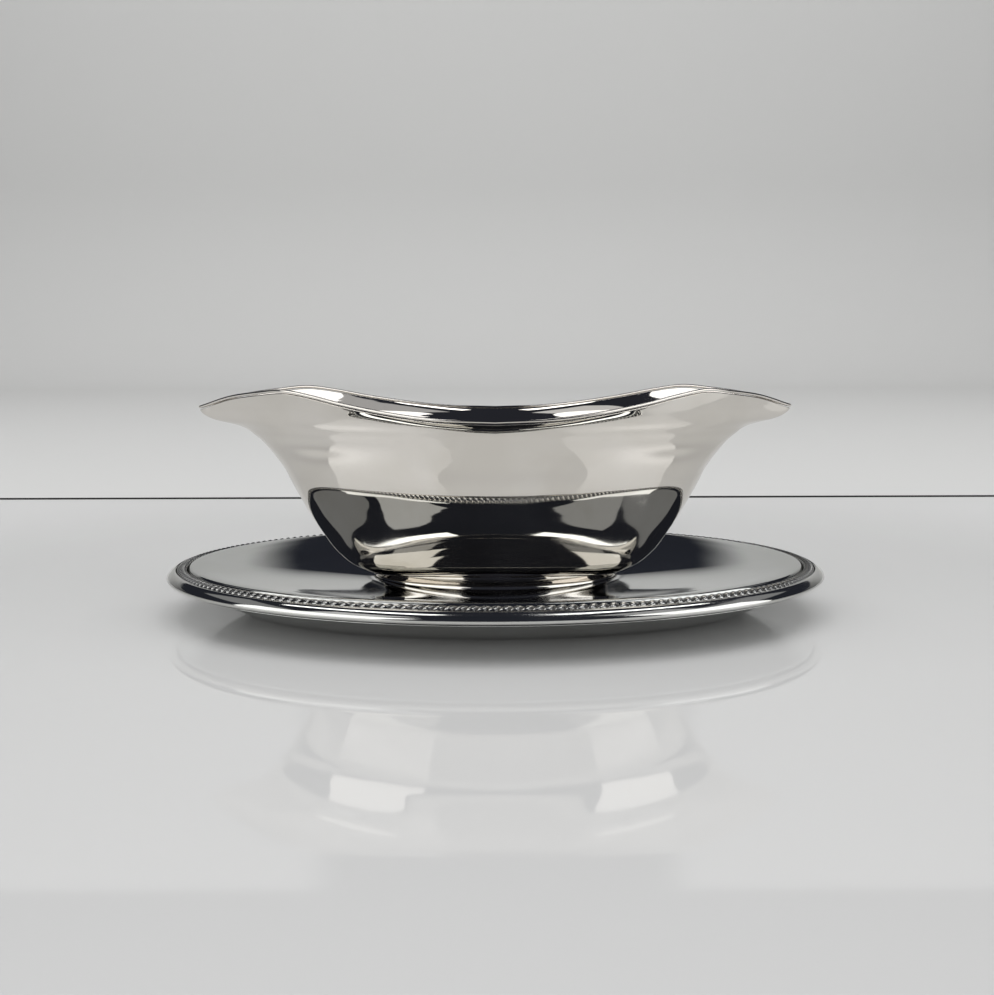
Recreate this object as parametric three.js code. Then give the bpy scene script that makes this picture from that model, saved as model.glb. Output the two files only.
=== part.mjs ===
// Oval sauce boat with a pouring lip at each end, fixed on an oval tray.
// Millimetres, +Z up, long axis on X. The tray's base rests on z = 0, centred on the origin.
import * as THREE from 'three';

// Tray.
const trayLength = 230;
const trayWidth = 150;
const edgeHeight = 13.6;
const crestHeight = 17.5;
const crestInset = 8.5;
const seatHeight = 11.4;
const floorEdgeHeight = 11.9;
const sheet = 0.8;
const clearance = 0.3;
const fluteCount = 210;
const fluteDepth = 0.7;
const fluteLean = 0.35;

// Skirt under the tray.
const baseLength = 170;
const baseWidth = 86;
const baseFlange = 7;
const skirtHeight = 11.9;

// Boat.
const boatHalfLength = 103.5;
const rimHalfWidth = 52.4;
const rimWavePeriod = 216;
const rimFlare = 2.8;
const flareReach = 1.9;
const flareHalfLength = 66;
const boatSheet = 1;
const wireDiameter = 1.2;
const bottomEdgeSide = 15.5;
const bottomEdgeDrop = 1.6;
const bottomHeight = 15.3;
const lean = 1.4 * Math.PI / 180;
const leanPivotHeight = 14;

// Foot collar.
const footLength = 85;
const footWidth = 49.2;
const footPoint = 0.7;

const halfTrayLength = trayLength / 2;
const halfTrayWidth = trayWidth / 2;

// A smooth curve through a few points [position, value].
function curve(points) {
  const last = points.length - 1;
  const rise = (i) => (points[i + 1][1] - points[i][1]) / (points[i + 1][0] - points[i][0]);
  const slopes = points.map((point, i) => {
    if (i === 0) return rise(0);
    if (i === last) return rise(last - 1);
    const before = point[0] - points[i - 1][0];
    const after = points[i + 1][0] - point[0];
    return (rise(i - 1) * after + rise(i) * before) / (before + after);
  });
  return (position) => {
    const x = Math.min(Math.max(position, points[0][0]), points[last][0]);
    let i = 0;
    while (i < last - 1 && x > points[i + 1][0]) i += 1;
    const span = points[i + 1][0] - points[i][0];
    const t = (x - points[i][0]) / span;
    const start = points[i][1] * (2 * t ** 3 - 3 * t ** 2 + 1);
    const end = points[i + 1][1] * (3 * t ** 2 - 2 * t ** 3);
    const bend = slopes[i] * (t ** 3 - 2 * t ** 2 + t) + slopes[i + 1] * (t ** 3 - t ** 2);
    return start + end + bend * span;
  };
}

// Height of the rim's top edge over the distance from the middle of the boat.
const rimCurve = curve([
  [0, 68.2], [20, 69.05], [40, 71.85], [50, 73.8], [60, 76.15], [70, 77.85], [80, 77.15],
  [90, 75.85], [boatHalfLength, 72.2],
]);
// Half-length and half-width of the body's waterlines over their height.
const halfLength = curve([
  [13.5, 43.5], [16.5, 50], [20.8, 55.3], [28, 60.8], [35.2, 65.5], [44.1, 70.6], [51.2, 74.3],
  [56.4, 78.3], [61.7, 83.4], [65.5, boatHalfLength - 13.9], [67.6, boatHalfLength - 5.5],
  [69.2, boatHalfLength - 2.3], [72.5, boatHalfLength], [80, boatHalfLength + 4],
]);
const halfWidth = curve([
  [14, 20], [16.5, 23.5], [18, 25.5], [25, 32], [32.5, 36.8], [38, 38.95], [43, 40.75],
  [48, 42.4], [54, 43.9], [60, 45.65], [66, 47.8], [72, 50.5], [80, 53],
]);
// How pointed a waterline is: 0.5 is an ellipse, more is hollow towards the ends.
const pointedness = curve([
  [14, 0.46], [30, 0.53], [42, 0.58], [48, 0.6], [54, 0.66], [60, 0.84], [66, 1.1], [72, 1.25],
  [80, 1.355],
]);
// Half-width that the rounded end of each lip keeps.
const lipWidth = curve([[14, 0], [50, 0], [60, 2.2], [68, 3.6], [80, 7]]);
const lipRoundness = 0.44;

function rimHalfWidthAt(x) {
  return rimHalfWidth * Math.cos(Math.PI * Math.min(Math.abs(x), boatHalfLength) / rimWavePeriod);
}

function rimHeightAt(x) {
  return rimCurve(Math.abs(x)) + rimHalfWidthAt(x) * Math.sin(lean);
}

function bottomEdgeAt(angle) {
  return bottomEdgeSide - bottomEdgeDrop * Math.cos(angle) ** 2;
}

// Outside of the body on the meridian at this angle round the boat.
function bodyPoint(angle, z) {
  const side = Math.sin(angle);
  const reach = Math.abs(side);
  const x = Math.cos(angle) * halfLength(z);
  const lip = lipWidth(z);
  const hull = (halfWidth(z) - lip) * reach ** (2 * pointedness(z));
  const taper = Math.max(0, 1 - (x / flareHalfLength) ** 2);
  const flare = rimFlare * taper * Math.exp((z - rimHeightAt(x)) / flareReach);
  const y = hull + lip * reach ** lipRoundness + flare;
  return new THREE.Vector3(x, reach < 1e-9 ? 0 : Math.sign(side) * y, z);
}

// Height at which a meridian meets the rim, lowered by drop.
function topHeight(angle, drop) {
  let z = rimHeightAt(boatHalfLength * Math.cos(angle));
  for (let step = 0; step < 30; step += 1) {
    z = rimHeightAt(Math.cos(angle) * halfLength(z));
  }
  return z - drop;
}

// Outward direction of the body's surface.
function bodyNormal(angle, z) {
  const turn = 0.02;
  const lift = 0.05;
  const along = bodyPoint(angle + turn, z).sub(bodyPoint(angle - turn, z));
  const up = bodyPoint(angle, z + lift).sub(bodyPoint(angle, z - lift));
  return along.cross(up).normalize();
}

// A closed solid from rows of points: each row is a closed loop, counter-clockwise from above.
// Rows run from the first to the last over the outside. A ring joins the last row to the first,
// and a shell closes each end with a fan to the given middle point.
function loft(name, rows, middles) {
  const count = rows[0].length;
  const points = rows.flat();
  const faces = [];
  const spans = middles ? rows.length - 1 : rows.length;
  for (let row = 0; row < spans; row += 1) {
    const low = row * count;
    const high = ((row + 1) % rows.length) * count;
    for (let i = 0; i < count; i += 1) {
      const next = (i + 1) % count;
      faces.push(low + i, low + next, high + next);
      faces.push(low + i, high + next, high + i);
    }
  }
  if (middles) {
    const end = (rows.length - 1) * count;
    const first = points.push(middles[0]) - 1;
    const final = points.push(middles[1]) - 1;
    for (let i = 0; i < count; i += 1) {
      const next = (i + 1) % count;
      faces.push(first, next, i);
      faces.push(final, end + i, end + next);
    }
  }
  const geometry = new THREE.BufferGeometry().setFromPoints(points);
  geometry.setIndex(faces);
  geometry.computeVertexNormals();
  const metal = new THREE.MeshStandardMaterial({ color: 0xc9c8c4, roughness: 0.12, metalness: 1 });
  const mesh = new THREE.Mesh(geometry, metal);
  mesh.name = name;
  return mesh;
}

function oval(halfX, halfY, z, count) {
  return Array.from({ length: count }, (_, i) => {
    const angle = 2 * Math.PI * i / count;
    const height = typeof z === 'function' ? z(angle) : z;
    return new THREE.Vector3(halfX * Math.cos(angle), halfY * Math.sin(angle), height);
  });
}

// An oval with pointed ends, in the measure that the body's waterlines use.
function pointedOval(halfX, halfY, point, z, count) {
  return oval(halfX, halfY, z, count).map((spot, i) => {
    const side = Math.sin(2 * Math.PI * i / count);
    const reach = Math.abs(side);
    spot.y = reach < 1e-9 ? 0 : Math.sign(side) * halfY * reach ** (2 * point);
    return spot;
  });
}

// An oval set in from the tray's outer edge.
function insetOval(inset, z, count) {
  return oval(halfTrayLength - inset, halfTrayWidth - inset, z, count);
}

// Boat body: outer wall from the bottom edge up, then the inner wall back down.
const bodyColumns = 76;
const bodyRows = 13;
function bodyWall(drop, depth, fromRow) {
  const rows = [];
  for (let row = fromRow; row <= bodyRows; row += 1) {
    const share = (row / bodyRows) ** 1.35;
    rows.push(Array.from({ length: bodyColumns }, (_, i) => {
      const angle = 2 * Math.PI * i / bodyColumns;
      const low = bottomEdgeAt(angle);
      const z = low + (topHeight(angle, drop) - low) * share;
      const point = bodyPoint(angle, z);
      if (depth > 0) point.addScaledVector(bodyNormal(angle, z), -depth);
      if (row === bodyRows) point.z = z;
      if (depth > 0 && row === fromRow) point.z = Math.max(point.z, low + depth);
      return point;
    }));
  }
  return rows;
}
const sheetDrop = 1.35;
const outerWall = bodyWall(sheetDrop, 0, 0);
const innerWall = bodyWall(sheetDrop, boatSheet, 1).reverse();
const boatBody = loft('boat_body', [...outerWall, ...innerWall], [
  new THREE.Vector3(0, 0, bottomHeight),
  new THREE.Vector3(0, 0, bottomHeight + 2 * boatSheet),
]);

// Rim wire: a round wire that carries on the line of the sheet just beyond its upper edge.
const wireColumns = 92;
const wireSides = 6;
const wirePath = Array.from({ length: wireColumns }, (_, i) => {
  const angle = 2 * Math.PI * i / wireColumns;
  const z = topHeight(angle, sheetDrop);
  const edge = bodyPoint(angle, z);
  const rise = edge.clone().sub(bodyPoint(angle, z - 0.3)).normalize();
  edge.addScaledVector(bodyNormal(angle, z), -boatSheet / 2);
  return edge.addScaledVector(rise, wireDiameter / 2 + clearance);
});
const wireRows = Array.from({ length: wireSides }, (_, side) => {
  const turn = 2 * Math.PI * (side + 0.5) / wireSides;
  return wirePath.map((point, i) => {
    const before = wirePath[(i + wireColumns - 1) % wireColumns];
    const after = wirePath[(i + 1) % wireColumns];
    const ahead = after.clone().sub(before).normalize();
    const outward = ahead.clone().cross(new THREE.Vector3(0, 0, 1)).normalize();
    const up = outward.clone().cross(ahead);
    return point.clone()
      .addScaledVector(outward, Math.cos(turn) * wireDiameter / 2)
      .addScaledVector(up, Math.sin(turn) * wireDiameter / 2);
  });
});
const rimWire = loft('rim_wire', wireRows);

// Foot collar: stands in the tray's seat and follows the leaning bottom of the boat.
const footColumns = 64;
const footTopInset = 3;
const footBore = 9;
function footTop(halfY) {
  return (angle) => {
    const tilt = halfY * Math.sin(angle) * Math.sin(lean);
    return bottomEdgeAt(angle) - tilt - clearance - 0.1;
  };
}
function footRow(inset, share) {
  const top = footTop(footWidth / 2 - footTopInset);
  const low = seatHeight + clearance;
  const height = (angle) => low + (top(angle) - low) * share;
  const halfX = footLength / 2 - inset;
  return pointedOval(halfX, footWidth / 2 - inset, footPoint, height, footColumns);
}
const boatFoot = loft('boat_foot', [
  footRow(0, 0),
  footRow(0, 0.35),
  footRow(footTopInset - 0.6, 0.6),
  footRow(footTopInset, 1),
  footRow(footBore, 1),
  footRow(footBore, 0),
]);

// Tray: upper surface from the seat out over the dished floor, crest and flange, then back
// underneath.
const trayColumns = 84;
const seatGap = 0.6;
const floorStart = 1;
const floorPoint = curve([[0, footPoint], [0.5, 0.58], [1, 0.5]]);
const floorRise = curve([[0, 0], [0.3, 0.3], [0.6, 0.61], [0.85, 0.88], [0.95, 0.975], [1, 1]]);
function floorRow(share, drop) {
  const startX = footLength / 2 + floorStart;
  const startY = footWidth / 2 + floorStart;
  const halfX = startX + (halfTrayLength - crestInset - startX) * share;
  const halfY = startY + (halfTrayWidth - crestInset - startY) * share;
  const z = floorEdgeHeight + (crestHeight - floorEdgeHeight) * floorRise(share);
  return pointedOval(halfX, halfY, floorPoint(share), z - drop, trayColumns);
}
function seatRow(z) {
  const halfX = footLength / 2 + seatGap;
  return pointedOval(halfX, footWidth / 2 + seatGap, footPoint, z, trayColumns);
}
const flangeInnerHeight = 15.4;
const flangeOuterHeight = 14.6;
const flangeInner = 7.4;
const flangeOuter = 2.6;
const crestRadius = 0.7;
const tray = loft('tray', [
  seatRow(seatHeight - sheet),
  ...[0.1, 0.4, 0.7, 0.92].map((share) => floorRow(share, sheet)),
  insetOval(flangeInner, flangeInnerHeight - sheet, trayColumns),
  insetOval(flangeOuter, flangeOuterHeight - sheet, trayColumns),
  insetOval(flangeOuter, flangeOuterHeight, trayColumns),
  insetOval(flangeInner, flangeInnerHeight, trayColumns),
  insetOval(crestInset - crestRadius, crestHeight - crestRadius / 2, trayColumns),
  ...[1, 0.95, 0.85, 0.7, 0.55, 0.4, 0.2, 0].map((share) => floorRow(share, 0)),
  seatRow(floorEdgeHeight - clearance / 2),
  seatRow(seatHeight),
], [
  new THREE.Vector3(0, 0, seatHeight - sheet),
  new THREE.Vector3(0, 0, seatHeight),
]);

// Gadroon border: rounded flutes that lean like the strands of a rope, one column on each crest
// and one in each valley. The lean is a share of a flute's width, to either side of the middle.
const gadroonOuter = 3.4;
const gadroonInner = 7;
const gadroonFall = 0.55;
const gadroonTop = 17.4;
const gadroonColumns = 2 * fluteCount;
function flangeHeightAt(inset) {
  const share = (inset - flangeOuter) / (flangeInner - flangeOuter);
  return flangeOuterHeight + (flangeInnerHeight - flangeOuterHeight) * share;
}
const gadroonMiddle = (gadroonOuter + gadroonInner) / 2;
function fluted(inset, z, depth) {
  const width = 2 * Math.PI / fluteCount;
  const shift = width * fluteLean * (inset - gadroonMiddle) / (gadroonInner - gadroonMiddle);
  return Array.from({ length: gadroonColumns }, (_, i) => {
    const angle = i * width / 2 + shift;
    return new THREE.Vector3(
      (halfTrayLength - inset) * Math.cos(angle),
      (halfTrayWidth - inset) * Math.sin(angle),
      z - (i % 2 ? depth : 0),
    );
  });
}
const gadroonBorder = loft('gadroon_border', [
  fluted(gadroonOuter, flangeHeightAt(gadroonOuter) + clearance, 0),
  fluted(gadroonOuter, gadroonTop - 2 * gadroonFall, fluteDepth / 2),
  fluted(gadroonMiddle, gadroonTop, fluteDepth),
  fluted(gadroonInner, gadroonTop - gadroonFall, fluteDepth / 2),
  fluted(gadroonInner, flangeHeightAt(gadroonInner) + clearance, 0),
]);

// Outer band: wraps the flange's outer edge with a clearance all round.
const bandColumns = 100;
const bandInner = 3.1;
const bandRise = 2.9;
const bandDrop = 1.2;
const bandWall = flangeOuter - clearance;
const trayEdge = loft('tray_edge', [
  insetOval(bandDrop, edgeHeight - bandDrop, bandColumns),
  insetOval(0.4, edgeHeight - 0.8, bandColumns),
  insetOval(0, edgeHeight, bandColumns),
  insetOval(0.5, edgeHeight + bandRise * 0.38, bandColumns),
  insetOval(1.6, edgeHeight + bandRise * 0.76, bandColumns),
  insetOval(bandInner, edgeHeight + bandRise, bandColumns),
  insetOval(bandInner, flangeHeightAt(bandInner) + clearance, bandColumns),
  insetOval(bandWall, flangeOuterHeight + clearance, bandColumns),
  insetOval(bandWall, flangeOuterHeight - sheet - clearance, bandColumns),
  insetOval(bandInner, edgeHeight - bandDrop, bandColumns),
]);

// Base: a spreading skirt with a flat flange turned in at the table.
const baseColumns = 84;
const skirt = curve([[0, 0.4], [0.25, 3.2], [0.55, 7], [0.8, 10], [1, skirtHeight]]);
const skirtTopInset = 3;
function skirtRow(share, lift) {
  const startX = baseLength / 2 + 1.2;
  const startY = baseWidth / 2 + 1.2;
  const halfX = startX + (halfTrayLength - skirtTopInset - startX) * share;
  const halfY = startY + (halfTrayWidth - skirtTopInset - startY) * share;
  return oval(halfX, halfY, skirt(share) + lift, baseColumns);
}
function flangeRow(inset, z) {
  return oval(baseLength / 2 - inset, baseWidth / 2 - inset, z, baseColumns);
}
const skirtShares = [0, 0.25, 0.55, 0.8];
const trayBase = loft('tray_base', [
  flangeRow(baseFlange, 0),
  flangeRow(0, 0),
  ...skirtShares.map((share) => skirtRow(share, 0)),
  skirtRow(1, -0.3),
  skirtRow(1, 0),
  skirtRow(0.95, 0.2),
  ...skirtShares.slice(1).reverse().map((share) => skirtRow(share, sheet)),
  flangeRow(0, sheet),
  flangeRow(baseFlange, sheet),
]);

// The boat leans back on its foot by a small angle, as the far rim sits lower than the near one.
const boat = new THREE.Group();
boat.name = 'boat';
boat.position.z = leanPivotHeight;
boat.rotation.x = -lean;
for (const mesh of [boatBody, rimWire]) {
  mesh.position.z = -leanPivotHeight;
  boat.add(mesh);
}

const group = new THREE.Group();
group.name = 'sauce_boat';
group.add(boat, boatFoot, tray, gadroonBorder, trayEdge, trayBase);

export default group;
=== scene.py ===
# %% [markdown]
# # A polished sauce boat on its fixed oval tray
# The real object is thin plated sheet: a boat with a pouring lip at each end, a light wire round
# its upper edge, a low collar, and an oval tray with a ring of small flutes. Bright metal has
# hardly a colour of its own. What the eye sees is the room in it, so the forms have to be smooth
# and exact, and the light has to be laid out with care. Sizes are in millimetres, as in the CAD
# model, and become metres when a mesh is finished.

# %% Load the CAD frame
import math
import bmesh
import bpy
import numpy as np
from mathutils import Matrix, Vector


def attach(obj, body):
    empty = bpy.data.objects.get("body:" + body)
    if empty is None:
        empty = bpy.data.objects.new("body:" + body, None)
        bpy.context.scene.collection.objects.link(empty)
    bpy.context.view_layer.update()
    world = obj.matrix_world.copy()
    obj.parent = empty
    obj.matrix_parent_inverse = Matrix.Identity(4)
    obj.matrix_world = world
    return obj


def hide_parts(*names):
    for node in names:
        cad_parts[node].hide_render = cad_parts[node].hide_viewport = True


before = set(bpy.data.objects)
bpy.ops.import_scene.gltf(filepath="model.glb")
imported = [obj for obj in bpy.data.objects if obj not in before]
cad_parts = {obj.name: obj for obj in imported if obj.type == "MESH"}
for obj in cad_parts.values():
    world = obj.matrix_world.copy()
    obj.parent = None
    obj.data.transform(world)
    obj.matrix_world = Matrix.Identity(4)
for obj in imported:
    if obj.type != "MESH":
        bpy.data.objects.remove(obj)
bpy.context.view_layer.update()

MM = 0.001
print("CAD nodes:", sorted(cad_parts))

# %% [markdown]
# ## The camera
# The picture was taken from a little above the rim, looking slightly down. A fairly long lens
# keeps the tray's far edge nearly as wide as the near one. A camera can be placed by eye, but
# bright metal changes with every step aside. So the place and the tilt follow from the outlines
# of the tray and the rim and from their mirror image in the table.

# %% Set up the camera
CAMERA_AT = (0.8, -417.9, 100.6)
CAMERA_DOWN = 8.28
CAMERA_ROLL = 0.17
camera_data = bpy.data.cameras.new("camera")
camera_data.lens = 43.42
camera_data.sensor_width = 36
camera = bpy.data.objects.new("camera", camera_data)
camera.location = [value * MM for value in CAMERA_AT]
camera.rotation_euler = (math.radians(90 - CAMERA_DOWN), math.radians(CAMERA_ROLL), 0)
bpy.context.scene.collection.objects.link(camera)
bpy.context.scene.camera = camera
print("camera height in mm:", round(camera.location.z / MM, 1))

# %% [markdown]
# ## A smooth curve through a few points
# A sheet-metal form is drawn with few points and fair curves between them. The same curve as in
# the CAD source is used here, so that the shown form and the solid agree. Between two points it
# is a cubic, which leaves each point with the slope that its neighbours ask for. It works on
# whole arrays of positions at once.


# %% Define the curve
def curve(points):
    at = np.array([point[0] for point in points], float)
    value = np.array([point[1] for point in points], float)
    rise = np.diff(value) / np.diff(at)
    gap = np.diff(at)
    slope = np.empty(len(at))
    slope[0] = rise[0]
    slope[-1] = rise[-1]
    slope[1:-1] = (rise[:-1] * gap[1:] + rise[1:] * gap[:-1]) / (gap[:-1] + gap[1:])

    def height(position):
        x = np.clip(position, at[0], at[-1])
        i = np.clip(np.searchsorted(at, x, side="right") - 1, 0, len(at) - 2)
        t = (x - at[i]) / gap[i]
        start = value[i] * (2 * t**3 - 3 * t**2 + 1)
        end = value[i + 1] * (3 * t**2 - 2 * t**3)
        bend = slope[i] * (t**3 - 2 * t**2 + t) + slope[i + 1] * (t**3 - t**2)
        return start + end + bend * gap[i]

    return height


# %% [markdown]
# ## Rolling a sheet and shaping it
# Every piece here runs once round the object. A spin modelling step could make such a form, but
# on a mesh as fine as polished metal needs it takes long. Instead each piece starts as a flat
# grid. The grid is rolled round Z, each of its rows is pushed to the real form, as a spinner
# pushes a sheet over a former, and the two ends are merged. A ring of closed section is rolled
# the other way as well. That gives clean, even quads. One uneven face would show as a dent. A
# piece can also keep, at every point, how much painted shade its colour gets there.

# %% Define the rolled sheet
MERGE_DISTANCE = 0.001


def rolled(name, rows, columns, ring, place, valley_shade_at=None):
    bm = bmesh.new()
    last = rows if ring else rows - 1
    bmesh.ops.create_grid(bm, x_segments=columns, y_segments=last, size=1)
    flat = np.array([vert.co[:2] for vert in bm.verts])
    angle = math.pi * (flat[:, 0] + 1)
    row = np.rint((flat[:, 1] + 1) / 2 * last).astype(int) % rows
    for vert, point in zip(bm.verts, place(row, angle)):
        vert.co = point * MM
    # painted shade: each point keeps how much its colour is darkened, as shade in the valleys
    if valley_shade_at is not None:
        valley_shade = bm.verts.layers.float.new("valley_shade")
        for vert, value in zip(bm.verts, valley_shade_at(row, angle)):
            vert[valley_shade] = value
    bmesh.ops.remove_doubles(bm, verts=bm.verts, dist=MERGE_DISTANCE * MM)
    bmesh.ops.recalc_face_normals(bm, faces=bm.faces)
    mesh = bpy.data.meshes.new(name)
    bm.to_mesh(mesh)
    bm.free()
    mesh.polygons.foreach_set("use_smooth", [True] * len(mesh.polygons))
    piece = bpy.data.objects.new(name, mesh)
    bpy.context.scene.collection.objects.link(piece)
    print(f"{name}: {len(mesh.polygons)} faces")
    return piece


# %% [markdown]
# ## Ovals, and fitting a piece into the frame
# The tray's lines are ellipses, and the collar's are ovals with slightly drawn-out ends. One
# formula gives both: a point of 0.5 is an ellipse, and a larger one sharpens the ends. A finished
# piece gets its metal, rides on the part's one body and stands in for its CAD node.

# %% Define the oval and the fitting
ELLIPSE = 0.5
TINY = 1e-9


def oval(angle, half_x, half_y, z, point=ELLIPSE):
    reach = np.abs(np.sin(angle))
    y = np.where(reach < TINY, 0, half_y * np.sign(np.sin(angle)) * reach ** (2 * point))
    return np.stack([half_x * np.cos(angle), y, z + 0 * angle], axis=-1)


def fit(piece, node, material):
    piece.data.materials.append(material)
    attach(piece, "root")
    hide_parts(node)


# %% [markdown]
# ## Helpers for the materials
# In the shader editor a material is wired by hand. In a script the same few nodes come back again
# and again: noise, a range mapped to another range, a sum or product, and a mix of two surfaces.
# Each gets a short function here, so that the finishes below can be read at a glance.


# %% Define the material helpers
def noise(tree, where, scale, detail):
    texture = tree.nodes.new("ShaderNodeTexNoise")
    texture.inputs["Scale"].default_value = scale
    texture.inputs["Detail"].default_value = detail
    tree.links.new(where, texture.inputs["Vector"])
    return texture


def ranged(tree, value, before, after, kind="LINEAR"):
    mapped = tree.nodes.new("ShaderNodeMapRange")
    mapped.interpolation_type = kind
    mapped.inputs["From Min"].default_value = before[0]
    mapped.inputs["From Max"].default_value = before[1]
    mapped.inputs["To Min"].default_value = after[0]
    mapped.inputs["To Max"].default_value = after[1]
    tree.links.new(value, mapped.inputs["Value"])
    return mapped.outputs["Result"]


def combined(tree, operation, first, second):
    step = tree.nodes.new("ShaderNodeMath")
    step.operation = operation
    tree.links.new(first, step.inputs[0])
    tree.links.new(second, step.inputs[1])
    return step.outputs["Value"]


def mixed(tree, share, first, second):
    choice = tree.nodes.new("ShaderNodeMixShader")
    tree.links.new(share, choice.inputs[0])
    tree.links.new(first, choice.inputs[1])
    tree.links.new(second, choice.inputs[2])
    return choice.outputs[0]


# %% [markdown]
# ## Bright plate
# The metal is nearly a perfect mirror, but not quite. Years of polishing leave very fine hair
# lines that run along the form, the sheet is never quite even, and a handled piece has faint
# cloudy smears. Roughness alone would look like plastic film, so three things are added: a slow
# change of roughness and tone for the smears, stretched fine noise for the polishing lines, and a
# very shallow wave in the bump for the pressed sheet. All of it reads Object coordinates, so that
# it stays put from every side.

# %% Define the smears, the polishing lines and the waves
SMEAR_SCALE = 38
SMEAR_DETAIL = 4
SMEAR_TWIST = 0.6
HAIR_STRETCH = (60, 900, 1400)
HAIR_DETAIL = 3
HAIR_RANGE = (0.55, 0.8)


def smears(tree, where):
    cloud = noise(tree, where, SMEAR_SCALE, SMEAR_DETAIL)
    cloud.inputs["Distortion"].default_value = SMEAR_TWIST
    return cloud.outputs["Fac"]


def polishing_lines(tree, where, grain):
    stretch = tree.nodes.new("ShaderNodeMapping")
    stretch.inputs["Scale"].default_value = HAIR_STRETCH
    tree.links.new(where, stretch.inputs["Vector"])
    hair = noise(tree, stretch.outputs["Vector"], 1, HAIR_DETAIL)
    return ranged(tree, hair.outputs["Fac"], HAIR_RANGE, (0, grain))


def sheet_waves(tree, where, depth, scale):
    swell = noise(tree, where, scale, 1)
    relief = tree.nodes.new("ShaderNodeBump")
    relief.inputs["Strength"].default_value = 1.0
    relief.inputs["Distance"].default_value = depth * MM
    tree.links.new(swell.outputs["Fac"], relief.inputs["Height"])
    return relief.outputs["Normal"]


# %% [markdown]
# ## Tone and painted valley shade
# Between the smears the plate is a touch darker and warmer. A colour ramp on the smears' noise
# does that. The valleys between small flutes get painted shade: their colour is darkened nearly
# to black. A cavity mask could be baked for them, but the mesh knows its own valleys, so it
# carries them as an attribute that the metal reads.

# %% Define the tone and the painted valley shade
TONE_STOPS = (0.35, 0.62)
CLEAR_TINT = (0.94, 0.935, 0.92)
# painted shade: the near-black colour that darkens the flute valleys
VALLEY_SHADE_COLOUR = (0.04, 0.04, 0.042, 1)
MIX_FIRST_COLOUR = 6
MIX_SECOND_COLOUR = 7
MIX_COLOUR_RESULT = 2


def plate_tone(tree, cloud, tint):
    tone = tree.nodes.new("ShaderNodeValToRGB")
    clear = [value * share for value, share in zip(tint, CLEAR_TINT)]
    for stop, at, colour in zip(tone.color_ramp.elements, TONE_STOPS, (clear, tint)):
        stop.position = at
        stop.color = (*colour, 1)
    tree.links.new(cloud, tone.inputs["Fac"])
    return tone.outputs["Color"]


# painted shade: mixes the plate's tone towards near black where the valley mask is high
def valley_shaded_tone(tree, tone):
    valley_shade = tree.nodes.new("ShaderNodeAttribute")
    valley_shade.attribute_name = "valley_shade"
    valley_darkened = tree.nodes.new("ShaderNodeMix")
    valley_darkened.data_type = "RGBA"
    valley_darkened.inputs[MIX_SECOND_COLOUR].default_value = VALLEY_SHADE_COLOUR
    tree.links.new(valley_shade.outputs["Fac"], valley_darkened.inputs[0])
    tree.links.new(tone, valley_darkened.inputs[MIX_FIRST_COLOUR])
    return valley_darkened.outputs[MIX_COLOUR_RESULT]


# %% [markdown]
# ## Four metals
# The whole object has one plating, worn in different ways. The boat is the brightest and a little
# warm, and the tray is greyer. The edge band and the flutes stand out and get most of the
# handling, so they are rougher, and the flutes alone get painted shade in their valleys. One
# function makes all four, because the same surface under different wear should look related.

# %% Make the four metals
SMEAR_RANGE = (0.42, 0.75)


def plate(name, tint, rough, haze, wave_depth, wave_scale, grain, shade_valleys=False):
    material = bpy.data.materials.new(name)
    material.use_nodes = True
    tree = material.node_tree
    metal = tree.nodes["Principled BSDF"]
    metal.inputs["Metallic"].default_value = 1.0
    where = tree.nodes.new("ShaderNodeTexCoord").outputs["Object"]
    cloud = smears(tree, where)
    hazy = ranged(tree, cloud, SMEAR_RANGE, (rough, rough + haze))
    lined = combined(tree, "ADD", hazy, polishing_lines(tree, where, grain))
    tree.links.new(lined, metal.inputs["Roughness"])
    tone = plate_tone(tree, cloud, tint)
    # painted shade in the valleys, for the flutes' metal only
    if shade_valleys:
        tone = valley_shaded_tone(tree, tone)
    tree.links.new(tone, metal.inputs["Base Color"])
    tree.links.new(sheet_waves(tree, where, wave_depth, wave_scale), metal.inputs["Normal"])
    print(f"{name}: roughness from {rough} to {round(rough + haze + grain, 3)}")
    return material


body_metal = plate("bright_plate_body", (0.76, 0.73, 0.685), rough=0.015, haze=0.05,
                   wave_depth=0.06, wave_scale=55, grain=0.02)
tray_metal = plate("bright_plate_tray", (0.59, 0.6, 0.585), rough=0.025, haze=0.06,
                   wave_depth=0.02, wave_scale=60, grain=0.03)
band_metal = plate("worn_plate_band", (0.66, 0.66, 0.64), rough=0.05, haze=0.12,
                   wave_depth=0.03, wave_scale=90, grain=0.08)
# the flutes' metal carries painted shade in its valleys
flute_metal = plate("worn_plate_flutes_painted_valley_shade", (0.72, 0.72, 0.7), rough=0.16, haze=0.08,
                    wave_depth=0.03, wave_scale=90, grain=0.08, shade_valleys=True)

# %% [markdown]
# ## The boat's form
# A boat is drawn by its waterlines: at each height, how long it is, how wide, and how pointed its
# ends are. It could be pulled out of a box with Subdivision Surface, but a mirror shows every
# uneven point, so a few fair curves draw it instead. The rim rises from the middle to a shoulder
# and falls again to the lips. Its last few millimetres flare outward, which gives the dark line
# with small teeth under the near rim: the flare mirrors the flutes of the tray.

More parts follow.
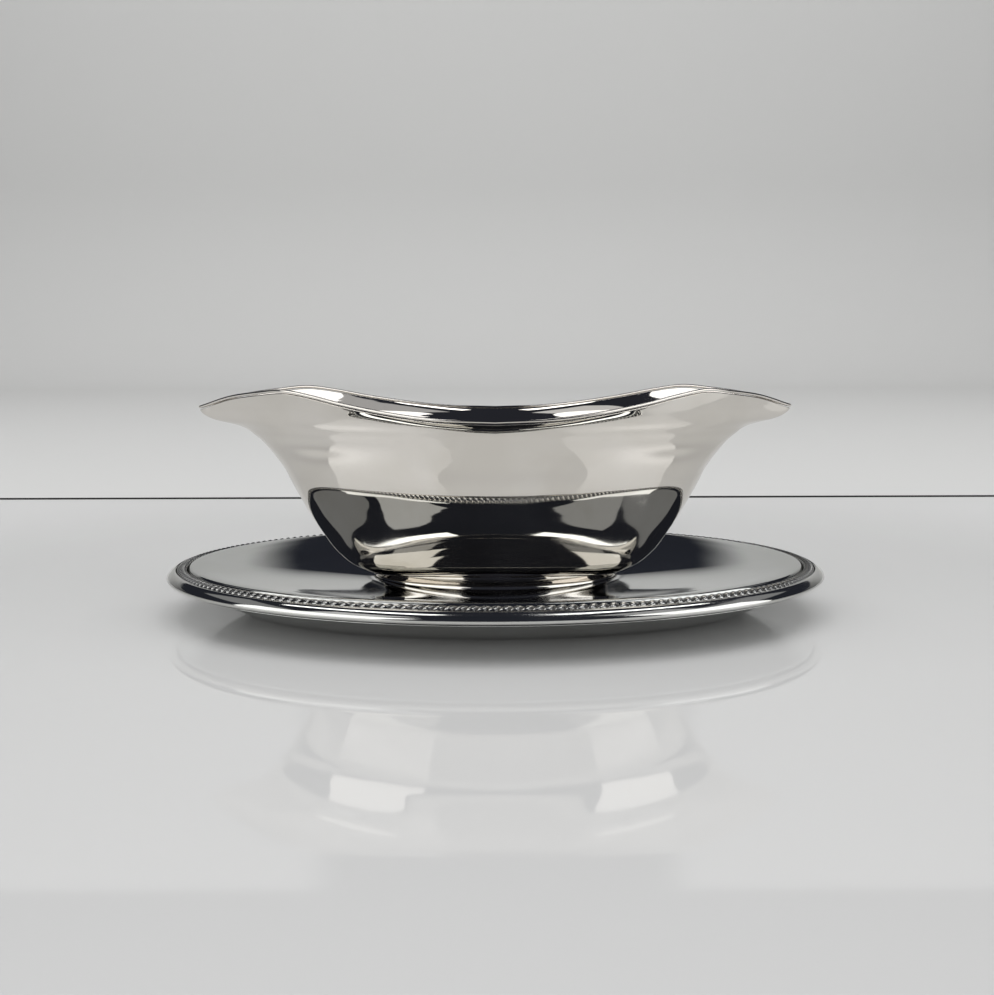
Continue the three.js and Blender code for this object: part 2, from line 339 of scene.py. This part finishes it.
# %% Describe the boat
BOAT_HALF_LENGTH = 103.5
BOTTOM_EDGE = 15.5
BOTTOM_EDGE_DROP = 1.6
rim_curve = curve([(0, 68.2), (20, 69.05), (40, 71.85), (50, 73.8), (60, 76.15), (70, 77.85),
                   (80, 77.15), (90, 75.85), (BOAT_HALF_LENGTH, 72.2)])
half_length = curve([(13.5, 43.5), (16.5, 50), (20.8, 55.3), (28, 60.8), (35.2, 65.5),
                     (44.1, 70.6), (51.2, 74.3), (56.4, 78.3), (61.7, 83.4), (65.5, 89.6),
                     (67.6, 98), (69.2, 101.2), (72.5, BOAT_HALF_LENGTH), (80, 107.5)])
half_width = curve([(14, 20.9), (15.2, 23.2), (16.5, 25), (18, 26.6), (21.5, 29.4), (25, 32),
                    (28.5, 34.35), (32.5, 36.75), (38, 38.95), (43, 40.75), (48, 42.4),
                    (54, 43.9), (60, 46.2), (66, 48.6), (72, 51), (80, 53.4)])
pointedness = curve([(14, 0.46), (30, 0.53), (42, 0.58), (48, 0.6), (54, 0.66), (60, 0.86),
                     (64, 1.0), (65.5, 1.08), (67.6, 1.38), (69.2, 1.46), (72, 1.44), (80, 1.42)])
lip_width = curve([(14, 0), (50, 0), (60, 2), (68, 5), (80, 7)])
print("half width in mm at heights 20, 40 and 60:", half_width(np.array([20, 40, 60])).round(1))

# %% [markdown]
# ## The boat's skin
# From the waterlines follows a point of the sheet for each angle and height. The lips are a
# second, rounder line added to the hull's, because a hull alone would end in a knife edge. The
# flare is added last, and it fades out below the rim and towards the lips.

# %% Define the skin
RIM_FLARE = 2.8
FLARE_REACH = 1.9
FLARE_HALF_LENGTH = 66
LIP_ROUNDNESS = 0.44
RIM_HALF_WIDTH = 52.4
RIM_WAVE_PERIOD = 216
LEAN = math.radians(1.4)


def rim_height(x):
    reach = np.minimum(np.abs(x), BOAT_HALF_LENGTH)
    half = RIM_HALF_WIDTH * np.cos(math.pi * reach / RIM_WAVE_PERIOD)
    return rim_curve(np.abs(x)) + half * math.sin(LEAN)


def boat_skin(angle, z):
    x = np.cos(angle) * half_length(z)
    reach = np.abs(np.sin(angle))
    lip = lip_width(z)
    taper = np.maximum(0, 1 - (x / FLARE_HALF_LENGTH) ** 2)
    flare = RIM_FLARE * taper * np.exp((z - rim_height(x)) / FLARE_REACH)
    y = (half_width(z) - lip) * reach ** (2 * pointedness(z)) + lip * reach**LIP_ROUNDNESS
    y = np.where(reach < TINY, 0, np.sign(np.sin(angle)) * (y + flare))
    return np.stack([x, y, z + 0 * angle], axis=-1)


# %% [markdown]
# ## Which way the skin faces, and where it ends
# The sheet's thickness and the wire need to know which way the sheet faces. A mesh could be asked
# for its normals, but two neighbouring points of the formula tell it more exactly. The rim's
# height depends on the length of the boat there, and that length on the height, so the two are
# settled in a few passes. Last, the whole boat leans back by 1.4 degrees on its collar.

# %% Define the skin's direction, its edges and the lean
LEAN_PIVOT = 14
RIM_PASSES = 30
TURN_STEP = 0.004
LIFT_STEP = 0.03


def unit(vectors):
    return vectors / np.linalg.norm(vectors, axis=-1, keepdims=True)


def skin_normal(angle, z):
    along = boat_skin(angle + TURN_STEP, z) - boat_skin(angle - TURN_STEP, z)
    up = boat_skin(angle, z + LIFT_STEP) - boat_skin(angle, z - LIFT_STEP)
    return unit(np.cross(along, up))


def rim_edge(angle, drop):
    z = rim_height(BOAT_HALF_LENGTH * np.cos(angle))
    for _ in range(RIM_PASSES):
        z = rim_height(np.cos(angle) * half_length(z))
    return z - drop


def bottom_edge(angle):
    return BOTTOM_EDGE - BOTTOM_EDGE_DROP * np.cos(angle) ** 2


def leaned(points):
    y = points[:, 1].copy()
    z = points[:, 2] - LEAN_PIVOT
    points[:, 1] = y * math.cos(LEAN) + z * math.sin(LEAN)
    points[:, 2] = z * math.cos(LEAN) - y * math.sin(LEAN) + LEAN_PIVOT
    return points


quarter_turns = np.array([0, math.pi / 2])
print("rim height in mm at a lip and in the middle:", rim_edge(quarter_turns, 0).round(1))

# %% [markdown]
# ## Boat body
# The sheet has an outer and an inner wall, one millimetre apart, closed over the flat bottom at
# one end and joined at the upper edge. A Solidify modifier could give the thickness, but it would
# end the sheet square to its slope, and this edge ends level under the wire. The rows stand
# closer together near the rim, where the flare bends within two millimetres.

# %% Build the boat body
WALL_ROWS = 70
WALL_COLUMNS = 620
ROW_CROWDING = 1.5
SHEET = 1.0
SHEET_DROP = 1.35
BOTTOM = 15.3


def body_place(row, angle):
    inner = row > WALL_ROWS + 1
    step = np.where(inner, 2 * WALL_ROWS + 3 - row, row - 1)
    share = np.clip(step / WALL_ROWS, 0, 1)
    share = 1 - (1 - share) ** ROW_CROWDING
    low = bottom_edge(angle)
    z = low + (rim_edge(angle, SHEET_DROP) - low) * share
    points = boat_skin(angle, z)
    points = points - np.where(inner, SHEET, 0)[:, None] * skin_normal(angle, z)
    points[:, 2] = np.where(inner & (share >= 1), z, points[:, 2])
    points[:, 2] = np.where(inner, np.maximum(points[:, 2], low + SHEET), points[:, 2])
    points[row == 0] = (0, 0, BOTTOM)
    points[row == 2 * WALL_ROWS + 4] = (0, 0, BOTTOM + 2 * SHEET)
    return leaned(points)


body = rolled("sauce_boat_body", 2 * WALL_ROWS + 5, WALL_COLUMNS, False, body_place)
fit(body, "boat_body", body_metal)

# %% [markdown]
# ## Rim wire
# A thin round wire stiffens the upper edge and follows every rise and fall of it, lips included.
# A curve object with a bevel could be laid along the edge. Here it is a ring of circular section,
# rolled like the other pieces and set just beyond the sheet's edge, in the direction in which the
# sheet ends.

# %% Build the rim wire
WIRE = 1.08
CLEARANCE = 0.3
WIRE_SIDES = 12
WIRE_COLUMNS = 900
EDGE_STEP = 0.3
AHEAD_STEP = 0.003
UP = np.array([0, 0, 1])


def wire_line(angle):
    z = rim_edge(angle, SHEET_DROP)
    edge = boat_skin(angle, z)
    rise = unit(edge - boat_skin(angle, z - EDGE_STEP))
    return edge - skin_normal(angle, z) * SHEET / 2 + rise * (WIRE / 2 + CLEARANCE)


def wire_place(row, angle):
    ahead = unit(wire_line(angle + AHEAD_STEP) - wire_line(angle - AHEAD_STEP))
    outward = unit(np.cross(ahead, UP))
    upward = np.cross(outward, ahead)
    turn = (2 * math.pi * row / WIRE_SIDES)[:, None]
    return leaned(wire_line(angle) + (outward * np.cos(turn) + upward * np.sin(turn)) * WIRE / 2)


wire = rolled("rim_wire_round", WIRE_SIDES, WIRE_COLUMNS, True, wire_place)
fit(wire, "rim_wire", body_metal)

# %% [markdown]
# ## Foot collar
# A low oval collar is soldered between the boat and the tray. It is wider at the bottom, with a
# small hollow curve up to the neck, so it catches a thin bright line all round. A bevelled
# cylinder would be quicker, but its top has to follow the boat's leaning bottom edge, so it is
# rolled and shaped too.

# %% Build the foot collar
FOOT_HALF_X = 42.5
FOOT_HALF_Y = 24.6
FOOT_NECK = 3
FOOT_POINT = 0.7
FOOT_BORE = 9
FOOT_STEPS = 12
FOOT_COLUMNS = 480
NECK_SINK = 0.1
SEAT = 11.4
neck_inset = curve([(0, 0), (0.3, 0.25), (0.6, 2.0), (0.8, 2.8), (1, FOOT_NECK)])


def foot_place(row, angle):
    lean_drop = (FOOT_HALF_Y - FOOT_NECK) * np.sin(angle) * math.sin(LEAN)
    top = bottom_edge(angle) - lean_drop - CLEARANCE - NECK_SINK
    low = SEAT + CLEARANCE
    outer = row < FOOT_STEPS
    share = np.where(outer, row / (FOOT_STEPS - 1), np.where(row == FOOT_STEPS, 1, 0))
    inset = np.where(outer, neck_inset(share), FOOT_BORE)
    z = low + (top - low) * share
    return oval(angle, FOOT_HALF_X - inset, FOOT_HALF_Y - inset, z, FOOT_POINT)


foot = rolled("foot_collar", FOOT_STEPS + 2, FOOT_COLUMNS, True, foot_place)
fit(foot, "boat_foot", body_metal)

# %% [markdown]
# ## Tray
# One pressed sheet: a seat under the collar, a narrow flat zone round it, a shallow dish that
# rises all the way to a rounded crest, and beyond the crest a lower flange that carries the
# flutes. At the collar the dish has the collar's pointed outline, and at the crest it is an
# ellipse. Two ovals could be bridged, but that would leave the change between them to chance. So
# each line of the dish is blended from both by its share of the way.

# %% Describe the tray's lines
HALF_TRAY_X = 115
HALF_TRAY_Y = 75
TRAY_SHEET = 0.8
FLOOR_EDGE = 11.9
CREST = 17.48
CREST_INSET = 8.5
FLAT_X = 2.5
FLAT_Y = 12
dish_point = curve([(0, FOOT_POINT), (0.5, 0.58), (1, ELLIPSE)])
dish_rise = curve([(0, 0), (0.3, 0.3), (0.6, 0.61), (0.85, 0.88), (0.95, 0.975), (1, 1)])


def inset_line(inset, z):
    return (HALF_TRAY_X - inset, HALF_TRAY_Y - inset, z, ELLIPSE)


def foot_line(gap, z):
    return (FOOT_HALF_X + gap, FOOT_HALF_Y + gap, z, FOOT_POINT)


def dish_line(share, drop):
    start = (FOOT_HALF_X + FLAT_X, FOOT_HALF_Y + FLAT_Y)
    end = inset_line(CREST_INSET, CREST)
    half = [a + (b - a) * share for a, b in zip(start, end[:2])]
    z = FLOOR_EDGE + (CREST - FLOOR_EDGE) * float(dish_rise(share)) - drop
    return (*half, z, float(dish_point(share)))


print("the dish rises in mm by:", round(CREST - FLOOR_EDGE, 2))

# %% [markdown]
# ## The tray's section, rolled
# The section is drawn as a list of such lines, from the middle outward, over the top and back
# underneath. Each line is half its length, half its width, its height and its point. Rolling
# then makes the sheet, and the same function serves every other piece with oval lines.

# %% Build the tray
DISH_STEPS = 40
UNDER_STEPS = 12
SHEET_COLUMNS = 720
SEAT_GAP = 0.6
SEAT_ROUND = [(SEAT_GAP, -0.15), (1, -0.02)]
CREST_ROUND = [(8.15, 17.4), (7.85, 17.15), (7.6, 16.6)]
FLANGE_IN = (7.4, 15.4)
FLANGE_MIDDLE = (5, 15.0)
FLANGE_OUT = (2.6, 14.6)
flange = [FLANGE_IN, FLANGE_MIDDLE, FLANGE_OUT]
tray_top = [foot_line(SEAT_GAP, SEAT)]
tray_top += [foot_line(gap, FLOOR_EDGE + z) for gap, z in SEAT_ROUND]
tray_top += [dish_line(step / DISH_STEPS, 0) for step in range(DISH_STEPS + 1)]
tray_top += [inset_line(*pair) for pair in CREST_ROUND + flange]
tray_under = [inset_line(inset, z - TRAY_SHEET) for inset, z in (FLANGE_OUT, FLANGE_IN)]
tray_under += [dish_line(step / UNDER_STEPS, TRAY_SHEET) for step in range(UNDER_STEPS - 1, 0, -1)]
tray_under += [foot_line(SEAT_GAP, SEAT - TRAY_SHEET)]
tray_section = [(0, 0, SEAT, ELLIPSE)] + tray_top + tray_under
tray_section += [(0, 0, SEAT - TRAY_SHEET, ELLIPSE)]


def section_place(section):
    table = np.array(section, float)

    def place(row, angle):
        return oval(angle, table[row, 0], table[row, 1], table[row, 2], table[row, 3])

    return place


tray = rolled("oval_tray", len(tray_section), SHEET_COLUMNS, False, section_place(tray_section))
fit(tray, "tray", tray_metal)

# %% [markdown]
# ## Gadroon border
# The border is a ring of 210 small rounded flutes. One flute could be modelled and set round the
# oval with an Array on a curve, but the seams between the copies would catch the light. Instead
# the section of the ring is rolled with eight columns to a flute, and every column is lowered by
# a wave, which is round on the flute and sharp in the valley between two of them. The rows are
# shifted along the ring, so that the flutes lean like the strands of a rope.

# %% Build the gadroon border
FLUTES = 210
FLUTE_DEPTH = 0.9
FLUTE_COLUMNS = 8
FLUTE_LEAN = 0.35
FLUTE_SHARPNESS = 1.5
FLUTE_MIDDLE = 5.2
FLUTE_HALF_WIDTH = 1.8
VALLEY_SHADE_SPREAD = 1.3
FLANGE_FALL = (FLANGE_IN[1] - FLANGE_OUT[1]) / (FLANGE_IN[0] - FLANGE_OUT[0])


def flange_at(inset):
    return FLANGE_OUT[1] + FLANGE_FALL * (inset - FLANGE_OUT[0])


gadroon_section = [(3.4, flange_at(3.4) + CLEARANCE, 0), (3.4, 15.9, 0.3), (3.7, 16.55, 0.6),
                   (4.3, 17.05, 0.9), (FLUTE_MIDDLE, 17.38, 1), (6.1, 17.3, 0.9), (6.7, 17.0, 0.6),
                   (7.0, 16.5, 0.3), (7.0, flange_at(7.0) + CLEARANCE, 0)]


def valley(angle):
    return 1 - np.abs(np.sin(angle * FLUTES / 2))


def gadroon_place(row, angle):
    table = np.array(gadroon_section)
    inset, z, share = table[row, 0], table[row, 1], table[row, 2]
    depth = FLUTE_DEPTH * share * valley(angle) ** FLUTE_SHARPNESS
    shift = FLUTE_LEAN * (inset - FLUTE_MIDDLE) / FLUTE_HALF_WIDTH
    angle = angle + 2 * math.pi / FLUTES * shift
    return oval(angle, HALF_TRAY_X - inset, HALF_TRAY_Y - inset, z - depth)


# painted shade mask: 1 deep in each valley between flutes, 0 on the flute tops and at the ring's
# edges
def gadroon_valley_shade(row, angle):
    share = np.array(gadroon_section)[row, 2]
    return np.clip(share * valley(angle) * VALLEY_SHADE_SPREAD, 0, 1)


gadroons = rolled("gadroon_ring", len(gadroon_section), FLUTES * FLUTE_COLUMNS, True,
                  gadroon_place, gadroon_valley_shade)
fit(gadroons, "gadroon_border", flute_metal)

# %% [markdown]
# ## Edge band
# Outside the flutes runs a smooth rounded band that wraps the flange's edge. It is the brightest
# line of the tray, so its section is a proper round of many points and not a bevelled corner,
# which would break the line in two.

# %% Build the edge band
EDGE = 13.6
band_outer = [(3.1, EDGE - 1.2), (2.0, EDGE - 1.25), (1.0, EDGE - 1.05), (0.35, EDGE - 0.65),
              (0, EDGE), (0.12, EDGE + 0.55), (0.5, EDGE + 1.1), (1.0, EDGE + 1.65),
              (1.6, EDGE + 2.15), (2.3, EDGE + 2.6), (3.1, EDGE + 2.9)]
band_inner = [(3.1, flange_at(3.1) + CLEARANCE), (2.3, 14.9), (2.3, 13.5)]
band_section = [inset_line(*pair) for pair in band_outer + band_inner]
band = rolled("edge_band", len(band_section), SHEET_COLUMNS, True, section_place(band_section))
fit(band, "tray_edge", band_metal)

# %% [markdown]
# ## Base
# A spreading skirt carries the tray on the table and turns in to a flat flange. Only its mirror
# image in the table shows, from the front, as a pale curved band. It could be left out for that,
# but from a low angle it is what the tray stands on, so it gets a full section with a thickness.

# %% Build the base
BASE_HALF_X = 85
BASE_HALF_Y = 43
BASE_FLANGE = 7
BASE_SHEET = 0.8
BASE_COLUMNS = 480
SKIRT_START = 1.2
SKIRT_END_INSET = 3
SKIRT_STEPS = 18
SKIRT_LIP = [(1, -0.3), (1, 0), (0.95, 0.2)]
SKIRT_UNDER = range(15, 2, -1)
skirt_height = curve([(0, 0.4), (0.25, 3.2), (0.55, 7), (0.8, 10), (1, 11.9)])


def skirt_line(share, lift):
    start = (BASE_HALF_X + SKIRT_START, BASE_HALF_Y + SKIRT_START)
    end = (HALF_TRAY_X - SKIRT_END_INSET, HALF_TRAY_Y - SKIRT_END_INSET)
    half = [a + (b - a) * share for a, b in zip(start, end)]
    return (*half, float(skirt_height(share)) + lift, ELLIPSE)


flange_outer = (BASE_HALF_X, BASE_HALF_Y)
flange_inner = (BASE_HALF_X - BASE_FLANGE, BASE_HALF_Y - BASE_FLANGE)
base_section = [(*flange_inner, 0, ELLIPSE), (*flange_outer, 0, ELLIPSE)]
base_section += [skirt_line(step / SKIRT_STEPS, 0) for step in range(SKIRT_STEPS)]
base_section += [skirt_line(share, lift) for share, lift in SKIRT_LIP]
base_section += [skirt_line(step / SKIRT_STEPS, BASE_SHEET) for step in SKIRT_UNDER]
base_section += [(*flange_outer, BASE_SHEET, ELLIPSE), (*flange_inner, BASE_SHEET, ELLIPSE)]
base = rolled("tray_skirt", len(base_section), BASE_COLUMNS, True, section_place(base_section))
fit(base, "tray_base", tray_metal)

# %% [markdown]
# ## Sheets and plain finishes for the stage
# The object stands on a pale table in front of a pale wall. For a picture of metal the two are
# part of the finish, because everything in them comes back in the mirror. Each is one sheet, flat
# or bent, which is drawn from the side as a line of points and has a plain colour.


# %% Define the stage's sheets and finishes
def stage_sheet(name, width, line, material):
    bm = bmesh.new()
    bmesh.ops.create_grid(bm, x_segments=1, y_segments=len(line) - 1, size=1)
    for vert in bm.verts:
        y, z = line[round((vert.co.y + 1) / 2 * (len(line) - 1))]
        vert.co = (vert.co.x * width / 2 * MM, y * MM, z * MM)
    mesh = bpy.data.meshes.new(name)
    bm.to_mesh(mesh)
    bm.free()
    mesh.polygons.foreach_set("use_smooth", [True] * len(mesh.polygons))
    mesh.materials.append(material)
    made = bpy.data.objects.new(name, mesh)
    bpy.context.scene.collection.objects.link(made)
    print(f"{name}: {width} mm wide, from {line[0]} to {line[-1]}")


def plain(name, colour, rough, ior):
    material = bpy.data.materials.new(name)
    material.use_nodes = True
    shader = material.node_tree.nodes["Principled BSDF"]
    shader.inputs["Base Color"].default_value = (*colour, 1)
    shader.inputs["Roughness"].default_value = rough
    shader.inputs["IOR"].default_value = ior
    return material


def glowing(tree, colour):
    even = tree.nodes.new("ShaderNodeEmission")
    even.inputs["Color"].default_value = colour
    return even.outputs[0]


# %% [markdown]
# ## A floor that is glossy near the object
# The real table shows the tray and the boat upside down. A clear gloss over a matt base gives
# just that: weak seen from above and strong at a low angle. A glossy floor all over would mirror
# the lamps from other sides, so the gloss fades into a matt finish further out. Beyond the reach
# of the lamps the floor shows one even tone to the camera and to the metal, because a dark
# horizon would appear in both.

# %% Make the glossy floor's finish
GLOSS_CENTRE_Y = -60
GLOSS_FULL = 230
GLOSS_GONE = 420
EVEN_FROM = 500
EVEN_TO = 1300
PALE_TONE = (0.58, 0.58, 0.58, 1)


def gloss_near_object(material):
    tree = material.node_tree
    gloss = tree.nodes["Principled BSDF"]
    away = tree.nodes.new("ShaderNodeVectorMath")
    away.operation = "DISTANCE"
    away.inputs[1].default_value = (0, GLOSS_CENTRE_Y * MM, 0)
    tree.links.new(tree.nodes.new("ShaderNodeTexCoord").outputs["Object"], away.inputs[0])
    distance = away.outputs["Value"]
    fading = ranged(tree, distance, (GLOSS_FULL * MM, GLOSS_GONE * MM), (0, 1), "SMOOTHSTEP")
    far = ranged(tree, distance, (EVEN_FROM * MM, EVEN_TO * MM), (0, 1), "SMOOTHSTEP")
    matt = tree.nodes.new("ShaderNodeBsdfDiffuse")
    matt.inputs["Color"].default_value = gloss.inputs["Base Color"].default_value
    near = mixed(tree, fading, gloss.outputs[0], matt.outputs[0])
    ray = tree.nodes.new("ShaderNodeLightPath")
    viewed = combined(tree, "MAXIMUM", ray.outputs["Is Camera Ray"], ray.outputs["Is Glossy Ray"])
    even = combined(tree, "MULTIPLY", far, viewed)
    shown = mixed(tree, even, near, glowing(tree, PALE_TONE))
    tree.links.new(shown, tree.nodes["Material Output"].inputs["Surface"])


floor_finish = plain("glossy_floor", (0.57, 0.57, 0.565), 0.04, 1.45)
gloss_near_object(floor_finish)
print("the floor's gloss ends in mm at:", GLOSS_GONE)

# %% [markdown]
# ## A sweep with a dark zone in the mirror
# Behind the table a matt sweep runs far back and turns up. It has to stand that far away: the
# dished tray mirrors what lies low behind it, and then a dark room above, with a soft end at both
# sides. A wall can't be pale for the camera and dark for the tray, but a material can tell a
# mirrored ray from a direct one. So the middle of the sweep turns dark for mirrored rays alone.

# %% Make the sweep's finish
FADE_LOW = 220
FADE_HIGH = 480
DARK_HALF_WIDTH = 295
DARK_EDGE = 405
ROOM_DARK = (0.022, 0.024, 0.032, 1)


def dark_in_mirrors(material):
    tree = material.node_tree
    apart = tree.nodes.new("ShaderNodeSeparateXYZ")
    tree.links.new(tree.nodes.new("ShaderNodeTexCoord").outputs["Object"], apart.inputs[0])
    high = ranged(tree, apart.outputs["Z"], (FADE_LOW * MM, FADE_HIGH * MM), (0, 1), "SMOOTHSTEP")
    aside = tree.nodes.new("ShaderNodeMath")
    aside.operation = "ABSOLUTE"
    tree.links.new(apart.outputs["X"], aside.inputs[0])
    sides = (DARK_HALF_WIDTH * MM, DARK_EDGE * MM)
    middle = ranged(tree, aside.outputs["Value"], sides, (1, 0), "SMOOTHSTEP")
    zone = combined(tree, "MULTIPLY", high, middle)
    ray = tree.nodes.new("ShaderNodeLightPath")
    mirrored = combined(tree, "MULTIPLY", zone, ray.outputs["Is Glossy Ray"])
    direct = tree.nodes["Principled BSDF"].outputs[0]
    shown = mixed(tree, mirrored, direct, glowing(tree, ROOM_DARK))
    tree.links.new(shown, tree.nodes["Material Output"].inputs["Surface"])


sweep_finish = plain("matt_sweep", (0.60, 0.60, 0.59), 0.9, 1.0)
dark_in_mirrors(sweep_finish)
print("the sweep is dark in mirrors above in mm:", FADE_HIGH)

# %% [markdown]
# ## Floor, joint and sweep
# The table ends some way behind the tray at a thin dark joint. A dark line could be painted on
# one long sheet, but a strip that lies slightly lower makes a real gap, which looks right from
# every side. Then comes the sweep: level, a quarter round, and upright.

# %% Build the floor, the joint and the sweep
FLOOR_FRONT = -2500
FLOOR_WIDTH = 6000
TABLE_BACK = 270
JOINT = 9
JOINT_DROP = 0.4
JOINT_TUCK = 1
SWEEP_BACK = 1800
SWEEP_RADIUS = 350
SWEEP_TOP = 1000
SWEEP_WIDTH = 9000
BEND_STEPS = 16
joint_finish = plain("dark_joint", (0.03, 0.03, 0.03), 0.9, 1.0)
joint_line = [(TABLE_BACK, -JOINT_DROP), (TABLE_BACK + JOINT + JOINT_TUCK, -JOINT_DROP)]
sweep_line = [(TABLE_BACK + JOINT, 0), (SWEEP_BACK - SWEEP_RADIUS, 0)]
for step in range(1, BEND_STEPS + 1):
    turn = math.radians(90 * step / BEND_STEPS)
    sweep_line.append((SWEEP_BACK - SWEEP_RADIUS * (1 - math.sin(turn)),
                       SWEEP_RADIUS * (1 - math.cos(turn))))
sweep_line.append((SWEEP_BACK, SWEEP_TOP))
stage_sheet("floor", FLOOR_WIDTH, [(FLOOR_FRONT, 0), (TABLE_BACK, 0)], floor_finish)
stage_sheet("joint", FLOOR_WIDTH, joint_line, joint_finish)
stage_sheet("sweep", SWEEP_WIDTH, sweep_line, sweep_finish)

# %% [markdown]
# ## A soft lamp
# Every lamp is a flat rectangle, as a softbox is in a studio. Its strength is given as the
# brightness of its face, because that is what the metal mirrors, and the power follows from the
# area. It faces a point and can be spun about its own axis. A lamp can be kept out of mirrors
# and still light the floor.


# %% Define the softbox
def softbox(name, at, aim, width, height, radiance, in_mirror, spin=0):
    data = bpy.data.lights.new(name, "AREA")
    data.shape = "RECTANGLE"
    data.size = width * MM
    data.size_y = height * MM
    data.energy = radiance * math.pi * width * height * MM * MM
    lamp = bpy.data.objects.new(name, data)
    lamp.location = [value * MM for value in at]
    facing = (Vector(aim) - Vector(at)).to_track_quat("-Z", "Y").to_matrix()
    turned = facing @ Matrix.Rotation(math.radians(spin), 3, "Z")
    lamp.rotation_euler = turned.to_euler()
    lamp.visible_glossy = in_mirror
    bpy.context.scene.collection.objects.link(lamp)
    print(f"{name}: {data.energy:.2f} W")


# %% [markdown]
# ## Light
# An evenly lit dome would turn bright metal into grey plastic. It needs a dark room with a few
# pale shapes in it, each of which was placed by following rays from the camera over the metal.
# Two narrow strips hang high beyond the two ends, set aslant. Two large softboxes stand at the
# front left and right, with a dim panel above each, and two dim panels hang far out at the sides.
# A fill from the front, a wide light overhead and one for the sweep are kept out of mirrors: they
# only give the floor and the sweep their even tone, at a level at which a colour renders about as
# it is written.

# %% Set up the lights
BOAT_MIDDLE = (0, 0, 50)
STRIP_X = 592
SIDE_PANEL_X = 1800
SIDES = (("left", -1), ("right", 1))
for side, sign in SIDES:
    softbox(f"softbox_{side}", (STRIP_X * sign, 75, 1500), (STRIP_X * sign, 75, 0),
            width=900, height=170, radiance=3.2, in_mirror=True, spin=40 * sign)
softbox("large_softbox_left", (-1177, -903, 649), BOAT_MIDDLE,
        width=1500, height=1293, radiance=1.7, in_mirror=True)
softbox("large_softbox_right", (1333, -650, 649), BOAT_MIDDLE,
        width=1228, height=1293, radiance=1.7, in_mirror=True)
softbox("panel_left", (-920, -719, 1600), BOAT_MIDDLE,
        width=714, height=615, radiance=0.65, in_mirror=True)
softbox("panel_right", (1001, -602, 1600), BOAT_MIDDLE,
        width=714, height=615, radiance=0.42, in_mirror=True)
softbox("front_fill", (0, -1600, 600), (0, 0, 0),
        width=2200, height=500, radiance=1.4, in_mirror=False)
for side, sign in SIDES:
    softbox(f"side_panel_{side}", (SIDE_PANEL_X * sign, 300, 1700), BOAT_MIDDLE,
            width=1500, height=700, radiance=0.25, in_mirror=True)
softbox("overhead", (0, -450, 2200), (0, -450, 0),
        width=2600, height=2200, radiance=2.15, in_mirror=False)
softbox("sweep_light", (0, 1000, 1900), (0, 1800, 450),
        width=3600, height=900, radiance=1.6, in_mirror=False)

# %% [markdown]
# ## The room beyond
# What lies beyond the stage is dark for the metal and for the light on the floor. The camera sees
# the wall's pale tone there instead, so that the picture has no hard black edge above the sweep.

# %% Set up the world
world = bpy.data.worlds.new("studio")
world.use_nodes = True
room_tree = world.node_tree
room = room_tree.nodes["Background"]
room.inputs["Color"].default_value = ROOM_DARK
beyond = room_tree.nodes.new("ShaderNodeBackground")
beyond.inputs["Color"].default_value = PALE_TONE
ray = room_tree.nodes.new("ShaderNodeLightPath")
seen = mixed(room_tree, ray.outputs["Is Camera Ray"], room.outputs[0], beyond.outputs[0])
room_tree.links.new(seen, room_tree.nodes["World Output"].inputs["Surface"])
bpy.context.scene.world = world
bpy.context.scene.view_settings.view_transform = "Standard"
print("view transform:", bpy.context.scene.view_settings.view_transform)
